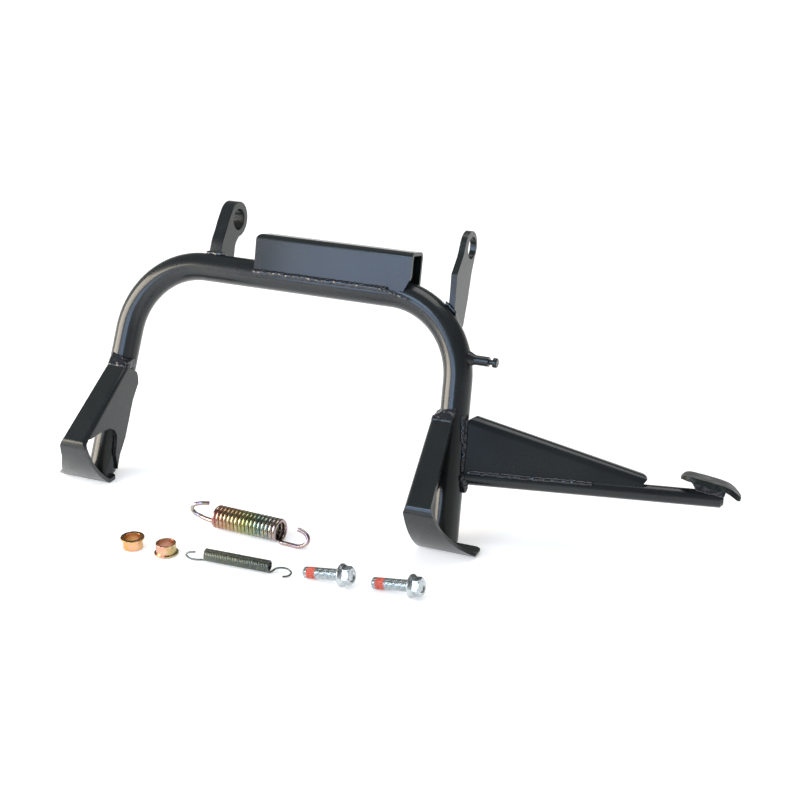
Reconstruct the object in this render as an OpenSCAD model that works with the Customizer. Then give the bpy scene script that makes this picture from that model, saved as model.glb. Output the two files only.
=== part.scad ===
// Motorcycle centre stand with its two springs, two pivot bushes and two pivot bolts.
// Millimetres, +Z up, +X along the pivot axis, -Y is the front. The origin is the
// middle of the pivot axis; the feet stand on the floor at z = -pivot_height.

/* [Stand] */
// rake of the legs from the vertical, deg
lean = 22; // [10:1:35]
// height of the pivot axis above the floor
pivot_height = 227.5; // [215:0.5:240]
// pivot axis above the cross tube, measured along the stand
pivot_rise = 48.4; // [44:0.2:54]
// pivot axis behind the plane of the tube
pivot_back = 23.4; // [20:0.2:28]
// middle of the cross tube from the middle of the pivot axis
tube_offset = -29.7; // [-35:0.1:-25]

/* [Tube] */
// outside diameter of the tube
tube_d = 25.4; // [22:0.1:28]
// wall of the tube
tube_wall = 2.5; // [1.5:0.1:4]
// straight part of the cross tube is shorter than the pivot span by
flat_short = 56.4; // [46:0.2:66]
// centre-line radius of the two bends
bend_r = 71.4; // [60:0.2:80]
// outward splay of each leg, deg
splay = 3.6; // [0:0.1:6]

/* [Pivot lugs] */
// outside of one lug to the outside of the other
pivot_span = 242; // [236:0.5:248]
// thickness of the left lug
left_lug_t = 12; // [8:0.5:16]
// thickness of the right lug
right_lug_t = 5.6; // [4:0.2:8]
// bore of the lugs
pivot_bore = 19.4; // [17:0.1:20]
// radius of the left lug's head
left_head_r = 16.3; // [15:0.1:18]
// radius of the right lug's head
right_head_r = 14.5; // [14:0.1:16]
// right lug's head ahead of the bore
right_head_ahead = 2.3; // [0:0.1:3]
// radius of the weld beads at the lugs and the channel
weld_leg = 2.6; // [2:0.1:3.5]

/* [Stop channel] */
// length of the channel
channel_len = 151; // [140:0.5:160]
// left end of the channel from the middle of the cross tube
channel_start = -38; // [-45:0.5:-30]
// width over the two walls
channel_w = 24.5; // [22:0.1:25]
// top of the channel above the tube axis
channel_top = 37.3; // [32:0.1:42]
// sheet of the channel
channel_t = 3; // [2:0.1:4]
// outside radius of its two folds
channel_fold_r = 5; // [3.5:0.1:8]
// rounding of its left top corners, seen from the front
channel_corner = 5; // [1:0.5:8]
// forward turn of the channel about the tube, deg
channel_turn = 8; // [0:1:15]

/* [Feet] */
// sheet of the feet
foot_t = 3.5; // [2.5:0.1:4.5]
// flat lip that lies on the floor
lip_len = 10.5; // [8:0.5:16]
// lip's free edge behind the leg axis at floor level
lip_back = 1; // [-4:0.5:4]
// outside radius of the toe fold
toe_r = 8; // [6:0.5:12]
// rise of the sole where the toe fold ends, deg
toe_turn = 39; // [30:1:48]
// radius of the bulged sole
sole_r = 96; // [80:1:120]
// rise of the sole where the nose fold starts, deg
sole_turn = 72; // [66:1:80]
// outside radius of the nose fold
nose_r = 8; // [6:0.5:12]
// slope of the front strip below the horizontal, deg
strip_slope = 36.5; // [30:0.5:42]
// straight run of the front strip at its inner edge
strip_len = 81; // [74:0.5:88]
// rise of the strip's slanted top edge from its inner to its outer corner
strip_slant = 8; // [4:0.5:10]
// outside radius of the fold between strip and web
fold_r = 4.5; // [3.5:0.1:6]
// strip's outer edge beyond the leg axis, at the strip's top
strip_out_top = 4.5; // [2:0.5:8]
// strip's outer edge beyond the leg axis, at the nose
strip_out_nose = 9.5; // [6:0.5:12]
// lip's outer edge beyond the leg axis
lip_out = 35; // [28:0.5:40]
// sole's inner edge inside the leg axis
sole_in = 17.6; // [15:0.1:20]
// corners of the lip, seen from above
lip_corner = 5.5; // [2:0.5:8]
// web let into the side of the tube
web_bite = 0.6; // [0.3:0.1:1.2]

/* [Spring post] */
// post below the cross tube's axis
post_drop = 47; // [42:0.5:52]
// outer end of the post from the middle of the cross tube
post_end = 197; // [192:0.5:202]
// diameter of the shank
post_d = 8.5; // [7:0.1:10]
// diameter of the spring groove
post_neck_d = 4.6; // [4:0.1:6]
// length of the spring groove
post_neck_len = 4; // [3:0.1:6]
// thickness of the head
post_head_t = 3.6; // [3:0.1:7]
// weld fillet along the post, from the tube's face
post_fillet = 4; // [3:0.5:6]
// weld fillet beyond the shank, on the radius
post_fillet_w = 1.8; // [0.5:0.1:2.5]

/* [Tread arm] */
// arm's start below the cross tube's axis
arm_drop = 147.4; // [140:0.2:154]
// diameter of the bar
arm_d = 14; // [12:0.2:16]
// length of the bar from the leg axis
arm_len = 230; // [215:1:240]
// backward sweep of the arm, deg
arm_sweep = 10.6; // [6:0.2:14]
// rise of the arm in the stand's plane, deg
arm_rise = 4.25; // [2:0.25:6]

/* [Gusset] */
// sheet of the gusset
gusset_t = 3; // [2:0.1:4]
// top corner above the arm's axis
gusset_top = 52.4; // [46:0.2:58]
// top corner beyond the leg axis
gusset_near = 20; // [18:0.5:24]
// far end beyond the leg axis
gusset_len = 167; // [155:1:180]
// top edge above the arm's axis at the far end
gusset_low = 15.6; // [13:0.2:18]
// front face ahead of the arm's axis
gusset_front = 5.5; // [4:0.1:6.5]
// width of the folded top flange
gusset_flange = 14; // [12:0.5:18]
// outside radius of its fold
gusset_fold_r = 9; // [5:0.5:11]
// bead of the gusset's welds
gusset_bead = 2.4; // [1.5:0.1:3]
// run of the bead along the bar
bead_run = 106; // [80:1:130]

/* [Tread pad] */
// width of the pad
pad_w = 26; // [22:1:34]
// forward tilt of the pad, deg
pad_tilt = 8; // [0:1:15]
// thickness of the pad
pad_t = 4.3; // [3.5:0.1:6]
// extra thickness of its outer end
pad_swell = 1.4; // [0:0.1:2]
// inner end of the pad before the end of the bar
pad_in = 36; // [30:0.5:42]
// outer end of the pad beyond the end of the bar
pad_out = 15; // [12:0.5:20]
// crown of the pad above the bar's axis
pad_rise = 19; // [17:0.2:23]

/* [Bushes] */
// slack of a bush in its lug, on the radius
bush_slack = 1.1; // [0.2:0.05:1.5]
// flange beyond the body of a bush
bush_flange_w = 1.7; // [1.2:0.1:3]
// thickness of the flange
bush_flange_t = 1.4; // [1:0.1:3]
// length of a bush
bush_len = 9.9; // [8:0.1:13]
// slack of the pivot bolt in a bush, on the radius
bolt_slack = 2; // [0.2:0.1:2.4]

/* [Bolts] */
// thread diameter
bolt_d = 10; // [8:0.5:12]
// length under the head
bolt_len = 35; // [28:1:42]
// diameter of the washer flange
bolt_flange_d = 20; // [18:0.5:23]
// across the flats of the hexagon
bolt_hex = 14; // [12:0.5:17]
// height of the whole head
bolt_head_h = 9.7; // [8:0.1:14]

/* [Large spring] */
// wire of the large spring
big_wire = 3; // [2.5:0.1:3.5]
// outside diameter of its coil
big_od = 20.3; // [18:0.1:22]
// length of its coil
big_len = 63.5; // [60:0.5:72]
// number of its turns
big_turns = 17; // [15:1:19]

/* [Small spring] */
// wire of the small spring
small_wire = 1.4; // [1.2:0.05:1.5]
// outside diameter of its coil
small_od = 10.9; // [9:0.1:12]
// length of its coil
small_len = 59.5; // [58:0.5:66]
// number of its turns
small_turns = 38; // [34:1:40]

/* [Laid out on the floor] */
// large spring's left end, right of the pivot's middle
big_x = -49; // [-70:0.5:-40]
// large spring's left end, ahead of the pivot
big_ahead = 165.4; // [150:0.1:175]
// large spring's turn, deg
big_turn = -1.9; // [-8:0.1:8]
// small spring's left end, right of the pivot's middle
small_x = -28.5; // [-45:0.1:-15]
// small spring's left end, ahead of the pivot
small_ahead = 222.5; // [210:0.1:230]
// small spring's turn, deg
small_turn = 2.5; // [-8:0.1:8]
// left bush, right of the pivot's middle
left_bush_x = -96.8; // [-105:0.1:-92]
// left bush, ahead of the pivot
left_bush_ahead = 226.9; // [215:0.1:235]
// right bush, right of the pivot's middle
right_bush_x = -65.3; // [-68:0.1:-60]
// right bush, ahead of the pivot
right_bush_ahead = 224.7; // [215:0.1:235]
// left bolt's thread end, right of the pivot's middle
left_bolt_x = 61; // [56:0.1:66]
// left bolt's thread end, ahead of the pivot
left_bolt_ahead = 214.7; // [205:0.1:230]
// left bolt's turn, deg
left_bolt_turn = -3; // [-15:0.1:15]
// right bolt's thread end, right of the pivot's middle
right_bolt_x = 119.7; // [112:0.1:130]
// right bolt's thread end, ahead of the pivot
right_bolt_ahead = 208.6; // [200:0.1:220]
// right bolt's turn, deg
right_bolt_turn = -3; // [-15:0.1:15]

/* [Node] */
// piece to build

/* [Hidden] */
$fn = 64;
far = 400;
tube_r = tube_d / 2;
tube_flat = pivot_span - flat_short;
half_flat = tube_flat / 2;
bend_angle = 90 - splay;
leg_x = half_flat + bend_r * cos(splay);
leg_z = -bend_r * (1 - sin(splay));
leg_run = 190;
bush_r = pivot_bore / 2 - bush_slack;
bush_hole_r = bolt_d / 2 + bolt_slack;
paint = [0.07, 0.08, 0.08];
weld_paint = [0.10, 0.11, 0.12];
zinc = [0.72, 0.72, 0.70];

// the leg axis seen from the side: distance ahead of the pivot at height h
function leg_f(h) = pivot_back / cos(lean) + (pivot_height - h) * tan(lean);
// half spacing of the leg axes at height h, for a point on the leg axis
function leg_half(h) = leg_x + tan(splay)
    * (leg_z - pivot_rise + (pivot_height - h + pivot_back * sin(lean)) / cos(lean));

// the tube's own frame: x along the cross tube, y to the back, z up the stand
module in_stand() {
    rotate([-lean, 0, 0]) translate([tube_offset, -pivot_back, -pivot_rise]) children();
}

// the floor frame: x from the middle of the cross tube, y to the back, z above the floor
module on_floor() {
    translate([tube_offset, 0, -pivot_height]) children();
}

module both_sides() {
    children();
    mirror([1, 0, 0]) children();
}

module cross_rod(r) {
    translate([-half_flat, 0, 0]) rotate([0, 90, 0]) cylinder(r = r, h = tube_flat);
}

module leg_rod(r, run) {
    translate([leg_x, 0, leg_z]) rotate([0, 180 - splay, 0]) cylinder(r = r, h = run);
}

module bend_rod(r) {
    translate([half_flat, 0, -bend_r]) rotate([90, 0, 0]) rotate([0, 0, splay])
        rotate_extrude(angle = bend_angle) translate([bend_r, 0]) circle(r = r);
}

module tube_rod(r) {
    cross_rod(r);
    both_sides() {
        bend_rod(r);
        leg_rod(r, leg_run);
    }
}

// side outline of a foot's sheet, from the lip's free edge to the top of the strip
lip_f = leg_f(0) - lip_back;
toe_f = lip_f + lip_len;
sole_f0 = toe_f + toe_r * sin(toe_turn);
sole_h0 = toe_r * (1 - cos(toe_turn));
nose_f0 = sole_f0 + sole_r * (sin(sole_turn) - sin(toe_turn));
nose_h0 = sole_h0 + sole_r * (cos(toe_turn) - cos(sole_turn));
nose_end = 180 - strip_slope;
strip_f0 = nose_f0 + nose_r * (sin(nose_end) - sin(sole_turn));
strip_h0 = nose_h0 + nose_r * (cos(sole_turn) - cos(nose_end));
strip_f1 = strip_f0 - strip_len * cos(strip_slope);
strip_h1 = strip_h0 + strip_len * sin(strip_slope);

function arc_side(f0, h0, r, a0, a1, n, t) = [for (i = [0:n]) let (a = a0 + (a1 - a0) * i / n)
    [f0 + r * (sin(a) - sin(a0)) - t * sin(a), h0 + r * (cos(a0) - cos(a)) + t * cos(a)]];

// run of the strip up to the leg at its outer corner
strip_full = strip_len + strip_slant / sin(strip_slope) + 3;

function foot_line(t, run) = concat(
    [[lip_f, t]],
    arc_side(toe_f, 0, toe_r, 0, toe_turn, 5, t),
    arc_side(sole_f0, sole_h0, sole_r, toe_turn, sole_turn, 6, t),
    arc_side(nose_f0, nose_h0, nose_r, sole_turn, nose_end, 8, t),
    [[strip_f0 - run * cos(strip_slope) - t * sin(nose_end),
        strip_h0 + run * sin(strip_slope) + t * cos(nose_end)]]);

function turn_back(p) = [for (i = [len(p) - 1:-1:0]) p[i]];

// extrudes a side outline of [ahead, height] points across the stand
module across(points, x0, x1) {
    translate([x0, 0, 0]) rotate([90, 0, 90]) linear_extrude(height = x1 - x0)
        polygon([for (p = points) [-p[0], p[1]]]);
}

web_in = tube_r - web_bite + foot_t;

// outside face of the web: distance from the stand's middle, f ahead of the pivot at height h
function web_x(f, h) = leg_half(h) + (f - leg_f(h)) * tan(splay) * sin(lean) - web_in / cos(splay);

base = leg_half(0);
strip_in = web_x(strip_f1, strip_h1);
strip_out = leg_half(strip_h1) + strip_out_top;

// front view of a foot: [out from the stand's middle, height]
module foot_front() {
    tuck = 1;
    rotate([90, 0, 0]) linear_extrude(height = far)
        polygon([
            [strip_in + tuck, strip_h1], [web_x(strip_f0, strip_h0) + tuck, strip_h0],
            [web_x(strip_f0, strip_h0), strip_h0 - 3], [base - sole_in, 10], [base - sole_in, 0],
            [base + lip_out - 3, 0], [base + lip_out, 1.6], [base + lip_out, 3.4],
            [base + lip_out - 3.3, 6], [base + lip_out - 11, 13.2],
            [base + lip_out - 19, 26.4], [base + lip_out - 23, 34.7],
            [base + strip_out_nose - 0.4, strip_h0 - 8], [leg_half(strip_h0) + strip_out_nose, strip_h0],
            [strip_out + 0.5, strip_h1], [strip_out, strip_h1 + strip_slant]]);
}

// takes the free corners off the lip, seen from above
module lip_corners() {
    half = (lip_out + sole_in) / 2 + 0.3;
    r = lip_corner;
    n = 6;
    translate([base + (lip_out - sole_in) / 2, -lip_f, -1]) both_sides()
        linear_extrude(height = foot_t + 2) polygon(concat(
            [[half + 1, -r], [half + 1, 1], [half - r, 1]],
            [for (i = [n:-1:0]) let (a = 90 * i / n) [half - r + r * cos(a), -r + r * sin(a)]]));
}

// takes off the corner between two faces with normals n1 and n2, along p0 to p1
module rounded_edge(p0, p1, n1, n2, r) {
    d = unit(p1 - p0);
    e = cross(d, n1);
    m = [n2 * n1, n2 * e];
    c = -r * ([1, 0] + m) / (1 + m[0]);
    turn = atan2(m[1], m[0]);
    n = 4;
    run_out = 8;
    out = 3 * r;
    multmatrix([[n1[0], e[0], d[0], p0[0]], [n1[1], e[1], d[1], p0[1]], [n1[2], e[2], d[2], p0[2]],
        [0, 0, 0, 1]])
        translate([0, 0, -run_out]) linear_extrude(height = norm(p1 - p0) + 2 * run_out)
            polygon(concat([c + [r + out, 0], [out, 0] + m * out, c + (r + out) * m],
                [for (i = [n:-1:0]) let (a = turn * i / n) c + r * [cos(a), sin(a)]]));
}

// the web beside the leg, seen from the side: [ahead of the leg axis at the floor, height]
module web_side() {
    f = leg_f(0);
    across([
        [strip_f1, strip_h1], [strip_f0, strip_h0], [f + 33.5, 54],
        [f + 27, 54.6], [f + 17, 54.4], [f + 6.5, 53.2], [f - 1, 49],
        [f - 5, 42], [f - 4.5, 34], [f - 2, 23.4], [f - 4, 12.4], [f - 4.4, 7],
        [f - 8.8, 19.8], [f - 18.4, 34], [f - 31.9, 67.3], [f - 41.4, 81],
        [f - 41, 88], [f - 39.2, 93.1]], 0, far);
}

module web_slab(t0, t1) {
    in_slab_h = 2 * far;
    translate([leg_x, 0, leg_z]) rotate([0, -splay, 0])
        translate([-t1, -far, -in_slab_h]) cube([t1 - t0, 2 * far, 2 * in_slab_h]);
}

module foot_sheet() {
    difference() {
        union() {
            difference() {
                intersection() {
                    across(concat(foot_line(0, strip_full),
                        turn_back(foot_line(foot_t, strip_full))), 0, far);
                    foot_front();
                }
                lip_corners();
            }
            intersection() {
                web_side();
                translate([-tube_offset, 0, pivot_height]) in_stand()
                    web_slab(tube_r - web_bite, web_in);
            }
        }
        rounded_edge([web_x(strip_f0, strip_h0), -strip_f0, strip_h0],
            [web_x(strip_f1, strip_h1), -strip_f1, strip_h1],
            [0, -sin(strip_slope), cos(strip_slope)],
            [-cos(splay), -sin(splay) * sin(lean), -sin(splay) * cos(lean)], fold_r);
    }
}

module one_foot(side) {
    difference() {
        on_floor() scale([side, 1, 1]) foot_sheet();
        in_stand() scale([side, 1, 1]) leg_rod(tube_r, leg_run);
    }
}

module foot_cutter() {
    below = [[lip_f - far, -far], [lip_f - far, foot_t]];
    ahead = [[strip_f1 + far, strip_h1], [strip_f1 + far, -far]];
    on_floor() translate([-far, 0, 0])
        across(concat(below, foot_line(foot_t, strip_len), ahead), 0, 2 * far);
}

module main_tube() {
    color(paint) difference() {
        in_stand() tube_rod(tube_r);
        in_stand() tube_rod(tube_r - tube_wall);
        foot_cutter();
    }
}

module left_foot() { color(paint) one_foot(-1); }
module right_foot() { color(paint) one_foot(1); }

// smooth line through control points
function curve_at(a, b, c, d, t) = 0.5 * (2 * b + (c - a) * t + (2 * a - 5 * b + 4 * c - d) * t * t
    + (3 * b - a - 3 * c + d) * t * t * t);
function smooth(p, n) = [for (i = [1:len(p) - 3]) for (k = [0:n - 1])
    curve_at(p[i - 1], p[i], p[i + 1], p[i + 2], k / n)];
function unit(v) = v / norm(v);

// a point of a lug's outline that follows the bore: [ahead, up] from the bore's middle
function at_bore(ahead, up) = [ahead - pivot_back, pivot_rise + up];

// lug outlines from the head down the front and up the back: [ahead of the tube axis, up the stand]
left_neck = concat(
    smooth([at_bore(8, 14), at_bore(13.8, 8), at_bore(18.4, -2.7), at_bore(21.4, -13.8), [0.9, 26],
        [2, 15.8], [2.6, 5], [1, -2]], 4),
    [[2.6, 5], [-4, -4], [-12, -7], [-19, -6], [-24.4, 3]],
    smooth([[-24.4, 3], [-24.4, 15], [-23.8, 24.5], at_bore(-4, -17), at_bore(-10.5, -10.5),
        at_bore(-14, -4)], 4),
    [at_bore(-10.5, -10.5)]);
right_neck = concat(
    smooth([at_bore(10, 14), at_bore(15.3, 5.5), at_bore(17.2, -0.9), at_bore(19.2, -10.3), [3.4, 22.4]], 3),
    [at_bore(19.2, -10.3), [3.6, 22.4], [0.4, 8], [-2, -5.4], [-6, -30], [-12, -34], [-22, -31],
    [-30.8, -19], [-32.4, 4], [-32, 28], at_bore(-10.4, -9.5), at_bore(-11.6, -1.5)]);

module lug_plate(neck, x0, t, head_r, ahead) {
    translate([x0, 0, 0]) rotate([90, 0, 90]) linear_extrude(height = t)
        polygon([for (p = neck) [-p[0], p[1]]]);
    translate([x0, pivot_back - ahead, pivot_rise]) rotate([0, 90, 0]) cylinder(r = head_r, h = t);
}

module left_plate() {
    lug_plate(left_neck, left_lug_x, left_lug_t, left_head_r, 0);
}

module right_plate() {
    lug_plate(right_neck, right_lug_x, right_lug_t, right_head_r, right_head_ahead);
}

module pivot_hole() {
    rotate([0, 90, 0]) cylinder(d = pivot_bore, h = far, center = true);
}

left_lug_x = -pivot_span / 2 - tube_offset;
right_lug_x = pivot_span / 2 - tube_offset - right_lug_t;

module left_pivot_lug() {
    color(paint) difference() {
        in_stand() left_plate();
        in_stand() cross_rod(tube_r);
        pivot_hole();
    }
}

module right_pivot_lug() {
    color(paint) difference() {
        in_stand() right_plate();
        in_stand() bend_rod(tube_r);
        pivot_hole();
    }
}

// section of the channel in its own turned frame: y to the back, z up
module channel_outline(inset) {
    w = channel_w / 2 - inset;
    top = channel_top - inset;
    r = channel_fold_r - inset;
    n = 6;
    polygon(concat(
        [[-w, 0]],
        [for (i = [0:n]) let (a = 180 - 90 * i / n) [-w + r + r * cos(a), top - r + r * sin(a)]],
        [for (i = [0:n]) let (a = 90 - 90 * i / n) [w - r + r * cos(a), top - r + r * sin(a)]],
        [[w, 0]]));
}

module channel_solid(inset, over) {
    rotate([channel_turn, 0, 0]) translate([channel_start - over, 0, 0]) rotate([90, 0, 90])
        linear_extrude(height = channel_len + 2 * over) channel_outline(inset);
}

// what the corners of the channel lose, seen from the front in its turned frame
module channel_corners() {
    r = channel_corner;
    n = 5;
    end = channel_start + channel_len;
    rotate([channel_turn, 0, 0]) {
        translate([channel_start, channel_w, channel_top]) rotate([90, 0, 0])
            linear_extrude(height = 2 * channel_w) polygon(concat([[-1, 1], [-1, -r]],
                [for (i = [0:n]) let (a = 180 - 90 * i / n) [r + r * cos(a), -r + r * sin(a)]], [[r, 1]]));
        translate([end, 0, 0]) rotate([90, 0, 0]) linear_extrude(height = channel_w)
            polygon([[-5.5, 0], [-5.5, 4], [-1.2, 13], [1, 20], [1, 0]]);
    }
}

module stop_channel() {
    color(paint) difference() {
        in_stand() channel_solid(0, 0);
        in_stand() channel_solid(channel_t, 1);
        in_stand() channel_corners();
        in_stand() translate([channel_start - 1, 0, 0]) rotate([0, 90, 0])
            cylinder(r = tube_r, h = channel_len + 2);
    }
}

module channel_weld() {
    seam_z = sqrt(tube_r * tube_r - channel_w * channel_w / 4);
    color(weld_paint) difference() {
        in_stand() rotate([channel_turn, 0, 0]) for (s = [-1, 1])
            translate([channel_start, s * (channel_w / 2 + 0.4), seam_z]) rotate([0, 90, 0])
                cylinder(r = weld_leg, h = half_flat - channel_start, $fn = 24);
        in_stand() channel_solid(0, 1);
        in_stand() cross_rod(tube_r);
    }
}

// beads on both sides of a lug: what lies between the bead rod and the tube
module lug_weld(neck, x0, t, z0) {
    difference() {
        intersection() {
            for (s = [-weld_leg, weld_leg]) translate([x0 - weld_leg, s, 0]) rotate([90, 0, 90])
                linear_extrude(height = t + 2 * weld_leg) polygon([for (p = neck) [-p[0], p[1]]]);
            children(0);
            translate([-far, -far, z0]) cube(2 * far);
        }
        children(1);
        children(2);
    }
}

module left_lug_weld() {
    color(weld_paint) in_stand() lug_weld(left_neck, left_lug_x, left_lug_t, -5) {
        cross_rod(tube_r + weld_leg);
        left_plate();
        cross_rod(tube_r);
    }
}

module right_lug_weld() {
    color(weld_paint) in_stand() lug_weld(right_neck, right_lug_x, right_lug_t, -28) {
        bend_rod(tube_r + weld_leg);
        right_plate();
        bend_rod(tube_r);
    }
}

// bead between the strip's slanted top and the leg
module foot_weld(side) {
    proud = 1.6;
    deep = 5;
    f_back = strip_f1 - strip_slant / tan(strip_slope) - 6;
    h_back = strip_h1 + (strip_f1 - f_back) * tan(strip_slope);
    difference() {
        on_floor() scale([side, 1, 1]) intersection() {
            across([[strip_f1 + 1, strip_h1 - 1], [strip_f1 + 1, strip_h1 + proud - 0.7],
                [f_back, h_back + proud], [f_back, strip_h1 - deep], [strip_f1 - 2, strip_h1 - deep]],
                0, far);
            rotate([90, 0, 0]) linear_extrude(height = far)
                polygon([[strip_in + 1.5, strip_h1 - deep], [strip_in + 1.5, strip_h1 + 2.6],
                    [strip_out - 1.5, strip_h1 + strip_slant + 2.8], [strip_out + 1, strip_h1 + strip_slant],
                    [strip_out + 0.5, strip_h1 - deep]]);
        }
        in_stand() scale([side, 1, 1]) leg_rod(tube_r, leg_run);
        one_foot(side);
    }
}

module left_foot_weld() { color(weld_paint) foot_weld(-1); }
module right_foot_weld() { color(weld_paint) foot_weld(1); }

module spring_post() {
    neck_x = post_end - post_head_t - post_neck_len;
    head_r = post_d / 2;
    dx = sqrt(pow(bend_r, 2) - pow(bend_r - post_drop, 2));
    root_x = half_flat + dx;
    face_x = half_flat + sqrt(pow(bend_r + tube_r, 2) - pow(bend_r - post_drop, 2));
    color(paint) difference() {
        in_stand() translate([root_x, 0, -post_drop]) rotate([0, 90, 0]) {
            cylinder(d = post_d, h = neck_x - root_x);
            translate([0, 0, face_x - root_x - 2])
                cylinder(r1 = post_d / 2 + post_fillet_w * (1 + 2 / post_fillet), r2 = post_d / 2,
                    h = post_fillet + 2);
            cylinder(d = post_neck_d, h = post_end - root_x - 1);
            translate([0, 0, post_end - root_x - post_head_t]) cylinder(r = head_r, h = post_head_t - 0.8);
            translate([0, 0, post_end - root_x - 0.8]) cylinder(r1 = head_r, r2 = head_r - 0.8, h = 0.8);
        }
        in_stand() bend_rod(tube_r);
    }
}

// arm frame: x along the bar from the leg axis, y to the back, z up
arm_x = leg_x + (arm_drop + leg_z) * tan(splay);

module on_arm() {
    in_stand() translate([arm_x, 0, -arm_drop]) rotate([0, 0, arm_sweep]) rotate([0, -arm_rise, 0])
        children();
}

module arm_rod(r) {
    rotate([0, 90, 0]) cylinder(r = r, h = arm_len);
}

module tread_arm() {
    edge = 2.6;
    color(paint) difference() {
        on_arm() {
            rotate([0, 90, 0]) cylinder(d = arm_d, h = arm_len - edge);
            translate([arm_len - edge, 0, 0]) rotate([0, 90, 0])
                cylinder(r1 = arm_d / 2, r2 = arm_d / 2 - edge, h = edge);
        }
        in_stand() leg_rod(tube_r, leg_run);
    }
}

gusset_slope = atan((gusset_top - gusset_low) / (gusset_len - 4 - gusset_near));

// front view of the gusset in the arm frame
module gusset_shape(y0, y1) {
    translate([0, y1, 0]) rotate([90, 0, 0]) linear_extrude(height = y1 - y0)
        polygon([[-4, 3.4], [-4, gusset_top - 14], [gusset_near - 10.4, gusset_top - 8.7],
            [gusset_near - 5, gusset_top - 3.2], [gusset_near, gusset_top], [gusset_len - 4, gusset_low],
            [gusset_len - 0.8, gusset_low - 2.4], [gusset_len, gusset_low - 4.6],
            [gusset_len - 2.5, 7.5], [gusset_len - 3.5, 3.4]]);
}

// section across the folded top edge, swept along the edge
module gusset_section() {
    r = gusset_fold_r;
    n = 7;
    run = (gusset_len + 30) / cos(gusset_slope);
    back = gusset_flange - gusset_front;
    translate([gusset_near, 0, gusset_top]) rotate([0, gusset_slope, 0]) translate([-30, 0, 0])
        rotate([90, 0, 90]) linear_extrude(height = run) polygon(concat(
            [[back, -gusset_t], [back, 0]],
            [for (i = [0:n]) let (a = 90 + 90 * i / n) [-gusset_front + r + r * cos(a), -r + r * sin(a)]],
            [[-gusset_front, -90], [-gusset_front + gusset_t, -90]],
            [for (i = [0:n]) let (a = 180 - 90 * i / n, q = r - gusset_t)
                [-gusset_front + r + q * cos(a), -r + q * sin(a)]]));
}

module gusset_body() {
    intersection() {
        gusset_section();
        gusset_shape(-gusset_front - 1, gusset_flange);
    }
}

module arm_gusset() {
    color(paint) difference() {
        on_arm() gusset_body();
        on_arm() arm_rod(arm_d / 2);
        in_stand() leg_rod(tube_r, leg_run);
    }
}

// beads down the leg and along the bar in front of the gusset
module gusset_weld() {
    color(weld_paint) difference() {
        union() {
            on_arm() translate([tube_r + 3.3, -gusset_front, 3.6]) rotate([0, 90, 0])
                cylinder(r = gusset_bead, h = bead_run, $fn = 24);
            intersection() {
                in_stand() leg_rod(tube_r + gusset_bead, leg_run);
                on_arm() translate([0, -gusset_front - gusset_bead, 4])
                    cube([30, 2 * gusset_bead, gusset_top - 8]);
            }
        }
        on_arm() gusset_body();
        on_arm() arm_rod(arm_d / 2);
        in_stand() leg_rod(tube_r, leg_run);
    }
}

// top line of the pad in the arm frame, lowered by the thickness t: [along, up]
pad_x0 = arm_len - pad_in;
pad_x1 = arm_len + pad_out;
function pad_line(t, swell) = smooth([[pad_x0 - 4, pad_rise - 7 - t], [pad_x0, pad_rise - 2.4 - t * 0.5],
    [pad_x0 + 5, pad_rise - t], [pad_x0 + 15, pad_rise - 1.4 - t], [pad_x0 + 27, pad_rise - 3.6 - t],
    [pad_x1 - 15.5, pad_rise - 5.6 - t], [pad_x1 - 9.5, pad_rise - 7.8 - t - swell * 0.6],
    [pad_x1 - 4, pad_rise - 11.8 - t * 0.9 - swell], [pad_x1 - t * 0.2, pad_rise - 16.6 - t * 0.4],
    [pad_x1 + 1, pad_rise - 22 - t]], 3);

module pad_block(half) {
    translate([0, 0, pad_rise]) rotate([pad_tilt, 0, 0]) translate([0, half, -pad_rise])
        rotate([90, 0, 0]) linear_extrude(height = 2 * half)
            polygon(concat(pad_line(0, 0), turn_back(pad_line(pad_t, pad_swell))));
}

module pad_plan() {
    r = pad_w / 2;
    tall = 60;
    translate([0, 0, -tall / 3]) {
        translate([pad_x0 + r, 0, 0]) cylinder(r = r, h = tall);
        translate([pad_x1 - r, 0, 0]) cylinder(r = r, h = tall);
        translate([pad_x0 + r, -r, 0]) cube([pad_x1 - pad_x0 - pad_w, pad_w, tall]);
    }
}

module tread_pad() {
    color(paint) difference() {
        on_arm() intersection() {
            pad_block(pad_w);
            pad_plan();
        }
        on_arm() arm_rod(arm_d / 2);
    }
}

// weld metal that fills the space between the bar's end and the pad
module pad_weld() {
    half = 7.5;
    color(weld_paint) difference() {
        on_arm() translate([0, half, 0]) rotate([90, 0, 0]) linear_extrude(height = 2 * half)
            polygon([[arm_len - 23, 5.6], [arm_len - 0.4, 1.5], [arm_len + 1.5, 6],
                [arm_len + 2.5, pad_rise - 8.6], [arm_len - 8, pad_rise - 6],
                [arm_len - 30, pad_rise - 3.6], [arm_len - 26.5, pad_rise - 7]]);
        on_arm() pad_block(pad_w);
        on_arm() arm_rod(arm_d / 2);
    }
}

module bush(up) {
    difference() {
        union() {
            cylinder(r = bush_r, h = bush_len);
            translate([0, 0, up ? bush_len - bush_flange_t : 0])
                cylinder(r = bush_r + bush_flange_w, h = bush_flange_t);
        }
        translate([0, 0, -1]) cylinder(r = bush_hole_r, h = bush_len + 2);
    }
}

brass_tone = [0.78, 0.58, 0.30];
module left_bush() {
    color(brass_tone) translate([left_bush_x, -left_bush_ahead, -pivot_height]) bush(true);
}

module right_bush() {
    color(brass_tone) translate([right_bush_x, -right_bush_ahead, -pivot_height]) bush(false);
}

// flange bolt along +X from its thread end
bolt_tip = 0.8;

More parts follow.
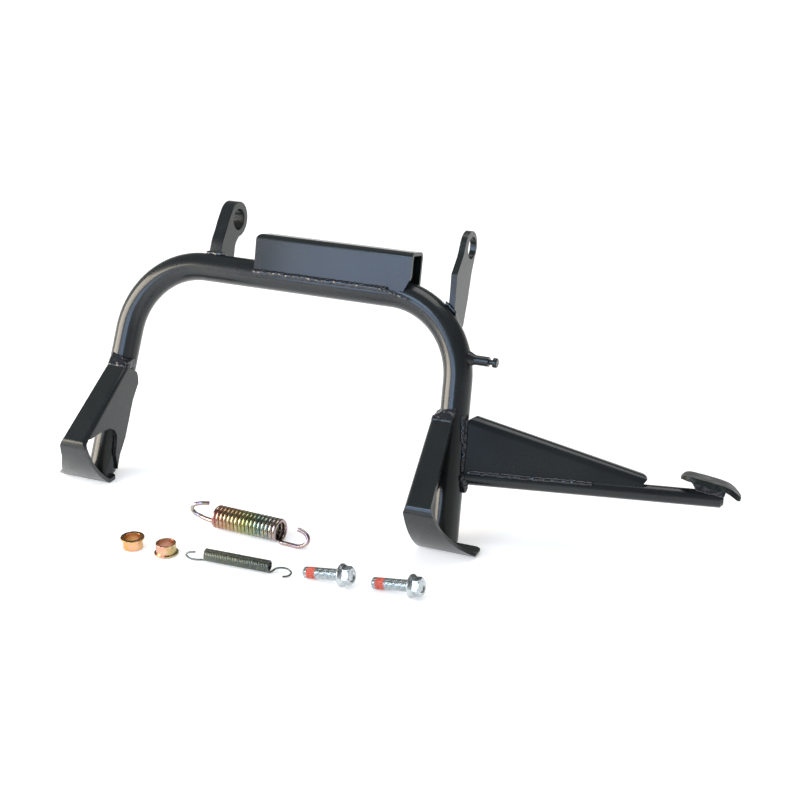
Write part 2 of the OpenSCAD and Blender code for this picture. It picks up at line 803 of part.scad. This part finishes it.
module bolt_body() {
    rim = 1.4;
    cone = 2.4;
    rotate([0, 90, 0]) {
        cylinder(r1 = bolt_d / 2 - bolt_tip, r2 = bolt_d / 2, h = bolt_tip);
        translate([0, 0, bolt_tip]) cylinder(d = bolt_d, h = bolt_len - bolt_tip);
        translate([0, 0, bolt_len]) cylinder(d = bolt_flange_d, h = rim);
        translate([0, 0, bolt_len + rim]) cylinder(d1 = bolt_flange_d, d2 = bolt_hex + 1.5, h = cone);
        intersection() {
            translate([0, 0, bolt_len + rim])
                cylinder(r = bolt_hex / sqrt(3), h = bolt_head_h - rim, $fn = 6);
            translate([0, 0, bolt_len])
                cylinder(r1 = bolt_hex, r2 = bolt_hex / 2 - 0.4, h = bolt_head_h + 2.2);
        }
    }
}

// a bolt lies on its thread end and on the rim of its flange
bolt_tilt = atan((bolt_flange_d / 2 - (bolt_d / 2 - bolt_tip)) / bolt_len);

module lying_bolt(x, ahead, turn) {
    translate([x, -ahead, -pivot_height]) rotate([0, 0, turn]) rotate([0, -bolt_tilt, 0])
        translate([0, 0, bolt_d / 2 - bolt_tip]) bolt_body();
}

module left_bolt() { color(zinc) lying_bolt(left_bolt_x, left_bolt_ahead, left_bolt_turn); }
module right_bolt() { color(zinc) lying_bolt(right_bolt_x, right_bolt_ahead, right_bolt_turn); }

// middle line of a coil along +X; hand is 1 for a right-hand coil and -1 for a left-hand one
function coil(r, len, turns, n, start, hand) = [for (i = [0:turns * n])
    let (a = start + 360 * i / n) [len * i / (turns * n), r * cos(a), hand * r * sin(a)]];

// round wire swept along the points p
module wire(p, r, sides) {
    n = len(p);
    t = [for (i = [0:n - 1]) unit(p[min(i + 1, n - 1)] - p[max(i - 1, 0)])];
    s = unit(cross(t[0], [0.31, 0.67, 0.45]));
    q = [for (i = 0, v = s; i < n; i = i + 1, v = i < n ? unit(v - (v * t[i]) * t[i]) : v) v];
    pts = [for (i = [0:n - 1]) let (u = unit(q[i] - (q[i] * t[i]) * t[i]), w = cross(t[i], u))
        for (k = [0:sides - 1]) p[i] + r * (cos(360 * k / sides) * u + sin(360 * k / sides) * w)];
    side_faces = [for (i = [0:n - 2]) for (k = [0:sides - 1]) let (a = i * sides + k,
        b = i * sides + (k + 1) % sides) each [[a, a + sides, b + sides], [a, b + sides, b]]];
    first = [for (k = [0:sides - 1]) k];
    last = [for (k = [sides - 1:-1:0]) (n - 1) * sides + k];
    polyhedron(points = pts, faces = concat(side_faces, [first, last]), convexity = 10);
}

// the hooks' control points are [along, to the back, up] from the coil's ends on its axis
module spring(body, end, wire_r, sides, left, right) {
    m = len(body);
    head = smooth(concat(left, [body[0], body[1]]), 4);
    tail = smooth(concat([body[m - 2], body[m - 1]], [for (p = right) p + [end, 0, 0]]), 4);
    wire(concat(head, body, [for (i = [1:len(tail) - 1]) tail[i]]), wire_r, sides);
}

module large_spring() {
    r = (big_od - big_wire) / 2;
    low = 0.1 - r;
    color(zinc) translate([big_x, -big_ahead, -pivot_height + big_od / 2]) rotate([0, 0, big_turn])
        spring(coil(r, big_len, big_turns, 16, 98, -1), big_len, big_wire / 2, 8,
            [[-10.5, 13, 4], [-15.5, 11.5, 4.3], [-21.5, 8.5, 4.3], [-27, 7, 2.8], [-30, 7, 0.3],
             [-30.5, 7, -3.2], [-27.5, 7, -6.2], [-22.5, 7, -7.7], [-16.5, 6, low], [-8, 4.5, low],
             [-2.5, 2, low]],
            [[1, -3, low], [3, -5, low], [7.5, -5, low], [13.5, -5.3, low], [19, -5.3, low],
             [24, -4.5, -6.7], [26.9, -2.5, -3.4], [26.1, -1, 0.3], [22.7, 0, 2.8], [18.9, 0.1, 4.3],
             [15.7, -0.1, 4.8], [11.5, -0.5, 5.1]]);
}

module small_spring() {
    r = (small_od - small_wire) / 2;
    low = 0.1 - r;
    color(zinc) translate([small_x, -small_ahead, -pivot_height + small_od / 2]) rotate([0, 0, small_turn])
        spring(coil(r, small_len, small_turns, 12, 255, 1), small_len, small_wire / 2, 6,
            [[-2.6, -0.8, 2.2], [-8.4, -1.7, 1.6], [-14, -2.8, 0.6], [-16.3, -3, -1], [-16, -3, -3],
             [-12.2, -3.3, low], [-6.6, -3, low], [-2.5, -1.5, low]],
            [[1.5, 1, -4.3], [4.1, 3.5, -2.6], [9.6, 4.4, -1.4], [14.8, 3.5, -1.4], [18.7, 1.2, -2.4],
             [18, -1.2, -3.9], [15.4, -3, low], [11.9, -4.2, low], [8, -4.8, low]]);
}

main_tube();
left_pivot_lug();
right_pivot_lug();
stop_channel();
left_foot();
right_foot();
tread_arm();
arm_gusset();
tread_pad();
spring_post();
channel_weld();
left_lug_weld();
right_lug_weld();
left_foot_weld();
right_foot_weld();
gusset_weld();
pad_weld();
large_spring();
small_spring();
left_bush();
right_bush();
left_bolt();
right_bolt();
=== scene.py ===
import math
import bmesh
import bpy
from mathutils import Matrix, Vector


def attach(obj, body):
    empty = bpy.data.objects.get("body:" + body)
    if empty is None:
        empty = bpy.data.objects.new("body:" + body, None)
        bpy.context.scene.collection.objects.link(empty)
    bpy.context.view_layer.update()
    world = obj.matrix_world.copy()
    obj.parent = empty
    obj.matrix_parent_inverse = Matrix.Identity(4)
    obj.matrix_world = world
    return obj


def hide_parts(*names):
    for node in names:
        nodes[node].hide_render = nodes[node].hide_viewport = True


# all lengths in metres
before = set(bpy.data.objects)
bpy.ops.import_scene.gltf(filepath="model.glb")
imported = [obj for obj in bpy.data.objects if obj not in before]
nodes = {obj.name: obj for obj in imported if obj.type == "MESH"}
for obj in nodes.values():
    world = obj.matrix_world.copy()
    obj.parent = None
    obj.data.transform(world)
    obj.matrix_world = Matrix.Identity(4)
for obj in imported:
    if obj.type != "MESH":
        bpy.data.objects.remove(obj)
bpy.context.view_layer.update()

PAINTED = ("main_tube", "left_pivot_lug", "right_pivot_lug", "stop_channel", "left_foot", "right_foot",
           "tread_arm", "arm_gusset", "spring_post")
WELDS = ("channel_weld", "left_lug_weld", "right_lug_weld", "left_foot_weld", "right_foot_weld",
         "gusset_weld", "pad_weld")

# height of the ground under the feet
FLOOR = -0.2275

# how far a seam's two sides may lie apart and still be one
SEAM = 0.00001

# rounding of each folded or cut piece's edges
EDGE = {"left_pivot_lug": 0.0009, "right_pivot_lug": 0.0006, "stop_channel": 0.0004,
        "left_foot": 0.0005, "right_foot": 0.0005, "tread_arm": 0.0008, "arm_gusset": 0.0005,
        "tread_pad": 0.0007, "spring_post": 0.0003, "left_bush": 0.0003, "right_bush": 0.0003}
EDGE_ANGLE = math.radians(38)
FLAT_ANGLE = math.radians(0.3)

# what each spring's wire gains at its surface
GAUGE = {"large_spring": 0.0005, "small_spring": 0.0002}

# grid, height and size of the lumps on a weld
WELD_GRID, LUMP_RISE, LUMP_SIZE = 0.0006, 0.0017, 0.0045

# weld runs besides the frame's own: points and radius
BEADS = {
    "channel_seam_end": (((0.0560, -0.0532, -0.0290), (0.0667, -0.0527, -0.0315),
                          (0.0744, -0.0526, -0.0333), (0.0865, -0.0533, -0.0358)), 0.0019),
    "arm_underside_bead": (((0.1520, -0.0985, -0.1690), (0.1538, -0.0980, -0.1755),
                            (0.1548, -0.0985, -0.1800), (0.1545, -0.0990, -0.1850)), 0.0034),
    "gusset_top_bead": (((0.1462, -0.0832, -0.1215), (0.1472, -0.0852, -0.1285),
                         (0.1480, -0.0882, -0.1375), (0.1490, -0.0900, -0.1440)), 0.0021),
}
BEAD_SIDES, BEAD_STEPS = 14, 6

# bolts: thread end's place on the ground and turn about the vertical
BOLTS = {"left_bolt": ((0.061, -0.2147), -3), "right_bolt": ((0.1197, -0.2086), -3)}
SHANK, THREAD_R, THREAD_DEPTH, PITCH = 0.035, 0.00497, 0.00075, 0.00125
FLANGE_R, FLANGE_H, CONE_H, HEAD_H = 0.00995, 0.0012, 0.0026, 0.0097
HEX_FLAT, HEX_CORNER = 0.007, 0.0081
BOLT_SIDES, THREAD_STEPS = 48, 230
# heights of a bolt's axis over the ground, at its thread end and at its flange
BOLT_LIFT, HEAD_LIFT = 0.0042, 0.01
BOLT_TILT = math.atan((HEAD_LIFT - BOLT_LIFT) / SHANK)
BOLT_EDGE_ANGLE = math.radians(32)

# sockets of the mix node, for numbers and for colours
NUMBER_A, NUMBER_B, NUMBER_OUT = 2, 3, 0
COLOR_A, COLOR_B, COLOR_OUT = 6, 7, 2


class Nodes:
    """Builds a node tree step by step; a value is a number, a colour or another node's socket."""

    def __init__(self, tree):
        self.tree = tree

    def new(self, kind, **values):
        n = self.tree.nodes.new(kind)
        for k, v in values.items():
            setattr(n, k, v)
        return n

    def feed(self, socket, value):
        if isinstance(value, bpy.types.NodeSocket):
            self.tree.links.new(value, socket)
        else:
            socket.default_value = value

    def calc(self, operation, *values, clamp=False):
        n = self.new("ShaderNodeMath", operation=operation, use_clamp=clamp)
        for socket, value in zip(n.inputs, values):
            self.feed(socket, value)
        return n.outputs["Value"]

    def axis(self, vector, name):
        n = self.new("ShaderNodeSeparateXYZ")
        self.feed(n.inputs["Vector"], vector)
        return n.outputs[name]

    def span(self, value, low, high, start=0.3, end=0.7):
        """Stretches what lies from start to end to low and high; the defaults are a noise's middle."""
        n = self.new("ShaderNodeMapRange")
        for key, v in (("Value", value), ("From Min", start), ("From Max", end),
                       ("To Min", low), ("To Max", high)):
            self.feed(n.inputs[key], v)
        return n.outputs["Result"]

    def mix_numbers(self, share, first, second):
        n = self.new("ShaderNodeMix")
        for key, v in (("Factor", share), (NUMBER_A, first), (NUMBER_B, second)):
            self.feed(n.inputs[key], v)
        return n.outputs[NUMBER_OUT]


class Mat(Nodes):
    """A material around one principled surface."""

    def __init__(self, name, color, rough, metal=0.0, coat=0.0, coat_rough=0.1, spec=0.5):
        self.m = bpy.data.materials.new(name)
        self.m.use_nodes = True
        super().__init__(self.m.node_tree)
        self.b = self.tree.nodes["Principled BSDF"]
        for key, v in (("Base Color", (*color, 1)), ("Roughness", rough), ("Metallic", metal),
                       ("Coat Weight", coat), ("Coat Roughness", coat_rough),
                       ("Specular IOR Level", spec)):
            self.set(key, v)

    def set(self, key, value):
        self.feed(self.b.inputs[key], value)

    def coord(self):
        return self.new("ShaderNodeTexCoord").outputs["Object"]

    def noise(self, scale, detail):
        n = self.new("ShaderNodeTexNoise")
        for key, v in (("Vector", self.coord()), ("Scale", scale), ("Detail", detail)):
            self.feed(n.inputs[key], v)
        return n.outputs["Fac"]

    def ramp(self, fac, stops):
        r = self.new("ShaderNodeValToRGB")
        e = r.color_ramp.elements
        while len(e) < len(stops):
            e.new(0.5)
        for k, (pos, color) in enumerate(stops):
            e[k].position = pos
            e[k].color = (*color, 1)
        self.feed(r.inputs["Fac"], fac)
        return r.outputs["Color"]

    def mix_colors(self, share, first, second):
        n = self.new("ShaderNodeMix", data_type="RGBA")
        for key, v in (("Factor", share), (COLOR_A, first), (COLOR_B, second)):
            self.feed(n.inputs[key], v)
        return n.outputs[COLOR_OUT]

    def bump(self, height, strength, distance):
        n = self.new("ShaderNodeBump")
        for key, v in (("Height", height), ("Strength", strength), ("Distance", distance)):
            self.feed(n.inputs[key], v)
        self.set("Normal", n.outputs["Normal"])


def black_paint():
    """Glossy black of the stand, slightly green and uneven."""
    m = Mat("black paint", (0.010, 0.012, 0.013), 0.25, coat=0.3, coat_rough=0.10, spec=0.3)
    m.set("Base Color", m.ramp(m.noise(11, 3), [(0.25, (0.007, 0.009, 0.011)),
                                                (0.8, (0.015, 0.019, 0.018))]))
    m.set("Roughness", m.span(m.noise(30, 4), 0.20, 0.33, 0.1, 0.9))
    m.bump(m.noise(260, 4), 0.10, 0.0003)
    return m.m


def worn_paint():
    """Duller paint of the tread pad, with fine scuffs."""
    m = Mat("worn paint", (0.009, 0.012, 0.011), 0.42, spec=0.22)
    m.set("Base Color", m.ramp(m.noise(420, 4), [(0.45, (0.006, 0.009, 0.008)),
                                                 (0.62, (0.016, 0.021, 0.019)),
                                                 (0.74, (0.05, 0.055, 0.05))]))
    m.set("Roughness", m.span(m.noise(90, 3), 0.34, 0.50))
    m.bump(m.noise(420, 4), 0.2, 0.0003)
    return m.m


def weld_paint():
    """Paint over a weld, glossier than on the tube."""
    m = Mat("weld paint", (0.012, 0.014, 0.018), 0.2, coat=0.35, coat_rough=0.08, spec=0.45)
    m.set("Roughness", m.span(m.noise(500, 2), 0.14, 0.35))
    m.bump(m.noise(700, 2), 0.10, 0.0003)
    return m.m


def plated(name, stops, ends, rough, fleck, fleck_scale):
    """Passivated zinc whose tint drifts along X between its ends, with flecks of another tint."""
    m = Mat(name, stops[0][1], rough, metal=1.0)
    along = m.span(m.axis(m.coord(), "X"), 0.0, 1.0, *ends)
    drift = m.calc("MULTIPLY_ADD", m.noise(170, 3), 0.22, along)
    flecks = m.span(m.noise(fleck_scale, 4), 0.0, 1.0, 0.48, 0.66)
    m.set("Base Color", m.mix_colors(flecks, m.ramp(drift, stops), (*fleck, 1)))
    m.set("Roughness", m.span(m.noise(600, 3), rough * 0.75, rough * 1.3))
    m.bump(m.noise(1200, 2), 0.12, 0.0001)
    return m.m


def bolt_zinc():
    """White zinc with a worn red band of thread lock near the thread's end."""
    m = Mat("bolt zinc", (0.60, 0.63, 0.66), 0.26, metal=1.0)
    place = m.new("ShaderNodeAttribute", attribute_name="along").outputs["Vector"]
    ragged = m.calc("MULTIPLY_ADD", m.noise(420, 3), 0.0026, m.axis(place, "X"))
    bare, full = (0, 0, 0), (1, 1, 1)
    band = m.ramp(m.span(ragged, 0.0, 1.0, 0.0, 0.02),
                  [(0.0, bare), (0.245, bare), (0.275, full), (0.62, full), (0.66, bare)])
    red_share = m.calc("MULTIPLY", band, m.span(m.noise(900, 4), 1.35, 0.55), clamp=True)
    silver = m.ramp(m.noise(260, 3), [(0.3, (0.42, 0.46, 0.47)), (0.7, (0.60, 0.64, 0.65))])
    red = m.ramp(m.noise(520, 3), [(0.3, (0.62, 0.07, 0.035)), (0.7, (0.80, 0.20, 0.12))])
    m.set("Base Color", m.mix_colors(red_share, silver, red))
    m.set("Metallic", m.calc("SUBTRACT", 1.0, red_share))
    m.set("Roughness", m.span(m.noise(600, 3), 0.20, 0.36))
    m.bump(m.noise(1500, 2), 0.12, 0.0001)
    return m.m


black = black_paint()
weld = weld_paint()
mats = {n: black for n in PAINTED}
mats.update({n: weld for n in WELDS})
mats["tread_pad"] = worn_paint()
mats["large_spring"] = plated(
    "yellow zinc", [(0.12, (0.40, 0.41, 0.42)), (0.34, (0.42, 0.17, 0.20)), (0.50, (0.40, 0.25, 0.13)),
                    (0.62, (0.30, 0.31, 0.12)), (0.74, (0.15, 0.24, 0.21)), (0.90, (0.42, 0.29, 0.30))],
    (-0.085, 0.045), 0.22, (0.42, 0.38, 0.26), 330)
mats["small_spring"] = plated(
    "grey zinc", [(0.2, (0.20, 0.21, 0.18)), (0.5, (0.13, 0.15, 0.12)), (0.9, (0.09, 0.11, 0.11))],
    (-0.045, 0.055), 0.30, (0.19, 0.19, 0.14), 420)
mats["left_bush"] = plated(
    "gold zinc", [(0.10, (0.16, 0.15, 0.05)), (0.34, (0.62, 0.34, 0.10)), (0.80, (0.66, 0.40, 0.16))],
    (-0.108, -0.086), 0.24, (0.70, 0.38, 0.30), 300)
mats["right_bush"] = plated(
    "rose zinc", [(0.30, (0.66, 0.34, 0.26)), (0.75, (0.70, 0.36, 0.24)), (1.0, (0.40, 0.32, 0.12))],
    (-0.077, -0.055), 0.24, (0.60, 0.46, 0.30), 260)


def modify(o, name, kind, **values):
    d = o.modifiers.new(name, kind)
    for k, v in values.items():
        setattr(d, k, v)


def finish_edges(o, width):
    """Close the mesh's seams, round its sharp edges and even out its shading."""
    modify(o, "close", "WELD", merge_threshold=SEAM)
    modify(o, "flats", "DECIMATE", decimate_type="DISSOLVE", angle_limit=FLAT_ANGLE)
    modify(o, "edges", "BEVEL", width=width, segments=2, limit_method="ANGLE", angle_limit=EDGE_ANGLE)
    modify(o, "shading", "WEIGHTED_NORMAL", keep_sharp=True)


def round_wire(o, gauge):
    """Turn the coarse wire of a spring into a round and slightly thicker one."""
    modify(o, "close", "WELD", merge_threshold=SEAM)
    modify(o, "round", "SUBSURF", levels=1, render_levels=1)
    modify(o, "gauge", "DISPLACE", strength=gauge, mid_level=0)


def lumps(o):
    """Uneven surface of a weld bead."""
    clouds = bpy.data.textures.new(o.name + " lumps", "CLOUDS")
    clouds.noise_scale = LUMP_SIZE
    clouds.noise_depth = 2
    modify(o, "close", "WELD", merge_threshold=SEAM)
    modify(o, "grid", "REMESH", mode="VOXEL", voxel_size=WELD_GRID, use_smooth_shade=True)
    modify(o, "lumps", "DISPLACE", texture=clouds, texture_coords="LOCAL", strength=LUMP_RISE,
           mid_level=0.5)
    modify(o, "flow", "SMOOTH", factor=0.5, iterations=5)


def corners(sides):
    return [2 * math.pi * k / sides for k in range(sides)]


def loft(bm, rings):
    """Skin over rings of equal length, closed at both ends."""
    around = len(rings[0])
    for r0, r1 in zip(rings, rings[1:]):
        for k in range(around):
            n = (k + 1) % around
            bm.faces.new((r0[k], r0[n], r1[n], r1[k]))
    bm.faces.new(list(reversed(rings[0])))
    bm.faces.new(rings[-1])
    bmesh.ops.recalc_face_normals(bm, faces=bm.faces)


def piece(name, bm, material):
    """Object on the stand's body, from a finished bmesh."""
    mesh = bpy.data.meshes.new(name)
    bm.to_mesh(mesh)
    bm.free()
    o = bpy.data.objects.new(name, mesh)
    bpy.context.scene.collection.objects.link(o)
    o.data.materials.append(material)
    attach(o, "root")
    return o


def clamp01(value):
    return min(1.0, max(0.0, value))


def round_section(r):
    return lambda a: r


def thread_section(x):
    """Section of the thread at x: a saw tooth that turns with x and runs out at both ends."""
    run_out = clamp01((x - 0.0006) / 0.001) * clamp01((SHANK - 0.0022 - x) / 0.0012)
    point = max(0.0, 1 - x / 0.0012)

    def radius(a):
        t = (x / PITCH - a / (2 * math.pi)) % 1.0
        tooth = clamp01(abs(2 * t - 1) * 1.5 - 0.25)
        return THREAD_R - THREAD_DEPTH * run_out * tooth - 0.0011 * point
    return radius


def hexagon_section(flat, corner):
    """Hexagon whose corners are cut round at the given radius."""
    def radius(a):
        return min(flat / math.cos(a % (math.pi / 3) - math.pi / 6), corner)
    return radius


def bolt(name, node, tip, turn, material):
    """Flange bolt with a cut thread, built along +X from its thread end and laid in its node's place."""
    bm = bmesh.new()
    cone_top = FLANGE_H + CONE_H
    sections = [(0, round_section(0.0028))]
    sections += [(SHANK * k / THREAD_STEPS, thread_section(SHANK * k / THREAD_STEPS))
                 for k in range(THREAD_STEPS + 1)]
    sections += [(SHANK + x, f) for x, f in (
        (0, round_section(FLANGE_R - 0.0006)), (0.0001, round_section(FLANGE_R - 0.0002)),
        (0.0004, round_section(FLANGE_R)), (FLANGE_H, round_section(FLANGE_R)),
        (FLANGE_H + 0.0003, round_section(FLANGE_R - 0.0003)),
        (FLANGE_H + CONE_H * 0.6, round_section(0.0088)),
        (FLANGE_H + CONE_H * 0.85, hexagon_section(HEX_FLAT + 0.0007, 0.0086)),
        (cone_top, hexagon_section(HEX_FLAT, HEX_CORNER)),
        (HEAD_H - 0.0013, hexagon_section(HEX_FLAT, HEX_CORNER)),
        (HEAD_H - 0.0009, hexagon_section(HEX_FLAT - 0.0001, HEX_CORNER - 0.0003)),
        (HEAD_H - 0.0003, hexagon_section(HEX_FLAT - 0.0002, HEX_FLAT + 0.0002)),
        (HEAD_H, round_section(HEX_FLAT - 0.0008)), (HEAD_H, round_section(0.0051)),
        (HEAD_H - 0.0003, round_section(0.0046)), (HEAD_H - 0.0012, round_section(0.0040)),
        (HEAD_H - 0.0014, round_section(0.0030)))]
    loft(bm, [[bm.verts.new((x, f(a) * math.cos(a), f(a) * math.sin(a))) for a in corners(BOLT_SIDES)]
              for x, f in sections])
    local = [v.co.copy() for v in bm.verts]
    bm.transform(Matrix.Translation((*tip, FLOOR)) @ Matrix.Rotation(math.radians(turn), 4, "Z")
                 @ Matrix.Rotation(-BOLT_TILT, 4, "Y") @ Matrix.Translation((0, 0, BOLT_LIFT)))
    o = piece(name, bm, material)
    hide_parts(node)
    keep = o.data.attributes.new("along", "FLOAT_VECTOR", "POINT")
    for k, c in enumerate(local):
        keep.data[k].vector = c
    for p in o.data.polygons:
        p.use_smooth = True
    o.data.set_sharp_from_angle(angle=BOLT_EDGE_ANGLE)


def bead(name, points, radius):
    """Short run of weld through the given points, thicker in its middle."""
    bm = bmesh.new()
    path = [Vector(p) for p in points]
    fine = [a.lerp(b, k / BEAD_STEPS) for a, b in zip(path, path[1:]) for k in range(BEAD_STEPS)]
    fine.append(path[-1])
    last = len(fine) - 1
    rings = []
    for k, centre in enumerate(fine):
        run = (fine[min(k + 1, last)] - fine[max(k - 1, 0)]).normalized()
        side = run.cross(Vector((0, 0, 1))).normalized()
        rise = side.cross(run)
        swell = 0.45 + 0.55 * math.sin(math.pi * (k / last)) ** 0.35
        r = radius * swell * (1 + 0.12 * math.sin(2.1 * k))
        rings.append([bm.verts.new(centre + r * (math.cos(a) * side + math.sin(a) * rise))
                      for a in corners(BEAD_SIDES)])
    loft(bm, rings)
    lumps(piece(name, bm, weld))


bolt_mat = bolt_zinc()
for name, (tip, turn) in BOLTS.items():
    bolt(name + "_threaded", name, tip, turn, bolt_mat)

# the main tube's own mesh is round and well shaded already
for name, o in nodes.items():
    if name in BOLTS:
        continue
    o.data.materials.clear()
    o.data.materials.append(mats[name])
    for p in o.data.polygons:
        p.use_smooth = True
    if name in WELDS:
        lumps(o)
    elif name in GAUGE:
        round_wire(o, GAUGE[name])
    elif name in EDGE:
        finish_edges(o, EDGE[name])

for name, (points, radius) in BEADS.items():
    bead(name, points, radius)

# ground: white to the camera and in reflections, with the object's shadow on it
FLOOR_SIZE, FLOOR_GAP = 12, 0.0005
FLOOR_LIFT, FAR_LIFT, LIFT_START, LIFT_END = 0.34, 0.35, 0.8, 4.0

bpy.ops.mesh.primitive_plane_add(size=FLOOR_SIZE, location=(0, 0, FLOOR - FLOOR_GAP))
floor = bpy.context.object
floor.name = "floor"
ground = Mat("floor", (0.82, 0.82, 0.82), 0.9, spec=0.0)
path = ground.new("ShaderNodeLightPath")
seen = path.outputs["Is Camera Ray"]
for kind in ("Is Glossy Ray", "Is Transmission Ray"):
    seen = ground.calc("MAXIMUM", seen, path.outputs[kind])
away = ground.new("ShaderNodeVectorMath", operation="LENGTH")
ground.feed(away.inputs[0], ground.coord())
lift = ground.span(away.outputs["Value"], FLOOR_LIFT, FLOOR_LIFT + FAR_LIFT, LIFT_START, LIFT_END)
ground.set("Emission Color", (1, 1, 1, 1))
ground.set("Emission Strength", ground.calc("MULTIPLY", seen, lift))
floor.data.materials.append(ground.m)

# world: white to the camera, a plain level of light, and darker overhead in reflections
WORLD_LIGHT, LOW_REFLECTED, HIGH_REFLECTED, SKY_START, SKY_END = 0.6, 0.85, 0.2, 0.02, 0.4

world = bpy.data.worlds.new("world")
bpy.context.scene.world = world
world.use_nodes = True
w = Nodes(world.node_tree)
background = w.tree.nodes["Background"]
w.feed(background.inputs["Color"], (1, 1, 1, 1))
path = w.new("ShaderNodeLightPath")
up = w.axis(w.new("ShaderNodeTexCoord").outputs["Generated"], "Z")
reflected = w.span(up, LOW_REFLECTED, HIGH_REFLECTED, SKY_START, SKY_END)
unseen = w.mix_numbers(path.outputs["Is Glossy Ray"], WORLD_LIGHT, reflected)
w.feed(background.inputs["Strength"], w.mix_numbers(path.outputs["Is Camera Ray"], unseen, 1.0))

# lamps: place, what it points at, width, height, power, colour
LAMPS = {
    "warm box": ((-1.28, -0.80, 0.25), (-0.1, -0.1, -0.05), 1.1, 0.85, 32, (1.0, 0.90, 0.76)),
    "cool box": ((-0.33, -1.15, 0.20), (0.0, -0.05, 0.0), 0.5, 0.4, 3.2, (0.50, 0.66, 1.0)),
    "cool strip": ((-0.33, -1.1, 0.66), (0.1, -0.05, 0.0), 0.34, 0.3, 3.2, (0.50, 0.72, 1.0)),
    "cool slit": ((-0.02, -1.2, 0.30), (0.15, -0.1, -0.1), 0.16, 0.3, 1.3, (0.45, 0.68, 1.0)),
    "top box": ((0.1, 0.5, 1.6), (0, 0, 0), 1.2, 1.2, 12, (1, 1, 1)),
}
for name, (place, target, width, height, power, color) in LAMPS.items():
    lamp = bpy.data.lights.new(name, "AREA")
    lamp.shape = "RECTANGLE"
    lamp.size, lamp.size_y = width, height
    lamp.energy = power
    lamp.color = color
    o = bpy.data.objects.new(name, lamp)
    bpy.context.scene.collection.objects.link(o)
    o.location = place
    o.rotation_euler = (Vector(target) - Vector(place)).to_track_quat("-Z", "Y").to_euler()

# camera
AZIMUTH, ELEVATION = math.radians(23.3), math.radians(22.7)
CAMERA_PLACE, LENS, SENSOR, CLIP_END = (0.5588, -1.17493, 0.38089), 67.5, 36, 20

cam_data = bpy.data.cameras.new("camera")
cam_data.sensor_width = SENSOR
cam_data.lens = LENS
cam_data.clip_end = CLIP_END
cam = bpy.data.objects.new("camera", cam_data)
bpy.context.scene.collection.objects.link(cam)
cam.location = CAMERA_PLACE
look = Vector((-math.sin(AZIMUTH) * math.cos(ELEVATION), math.cos(AZIMUTH) * math.cos(ELEVATION),
               -math.sin(ELEVATION)))
cam.rotation_euler = look.to_track_quat("-Z", "Y").to_euler()
bpy.context.scene.camera = cam
bpy.context.scene.view_settings.view_transform = "Standard"
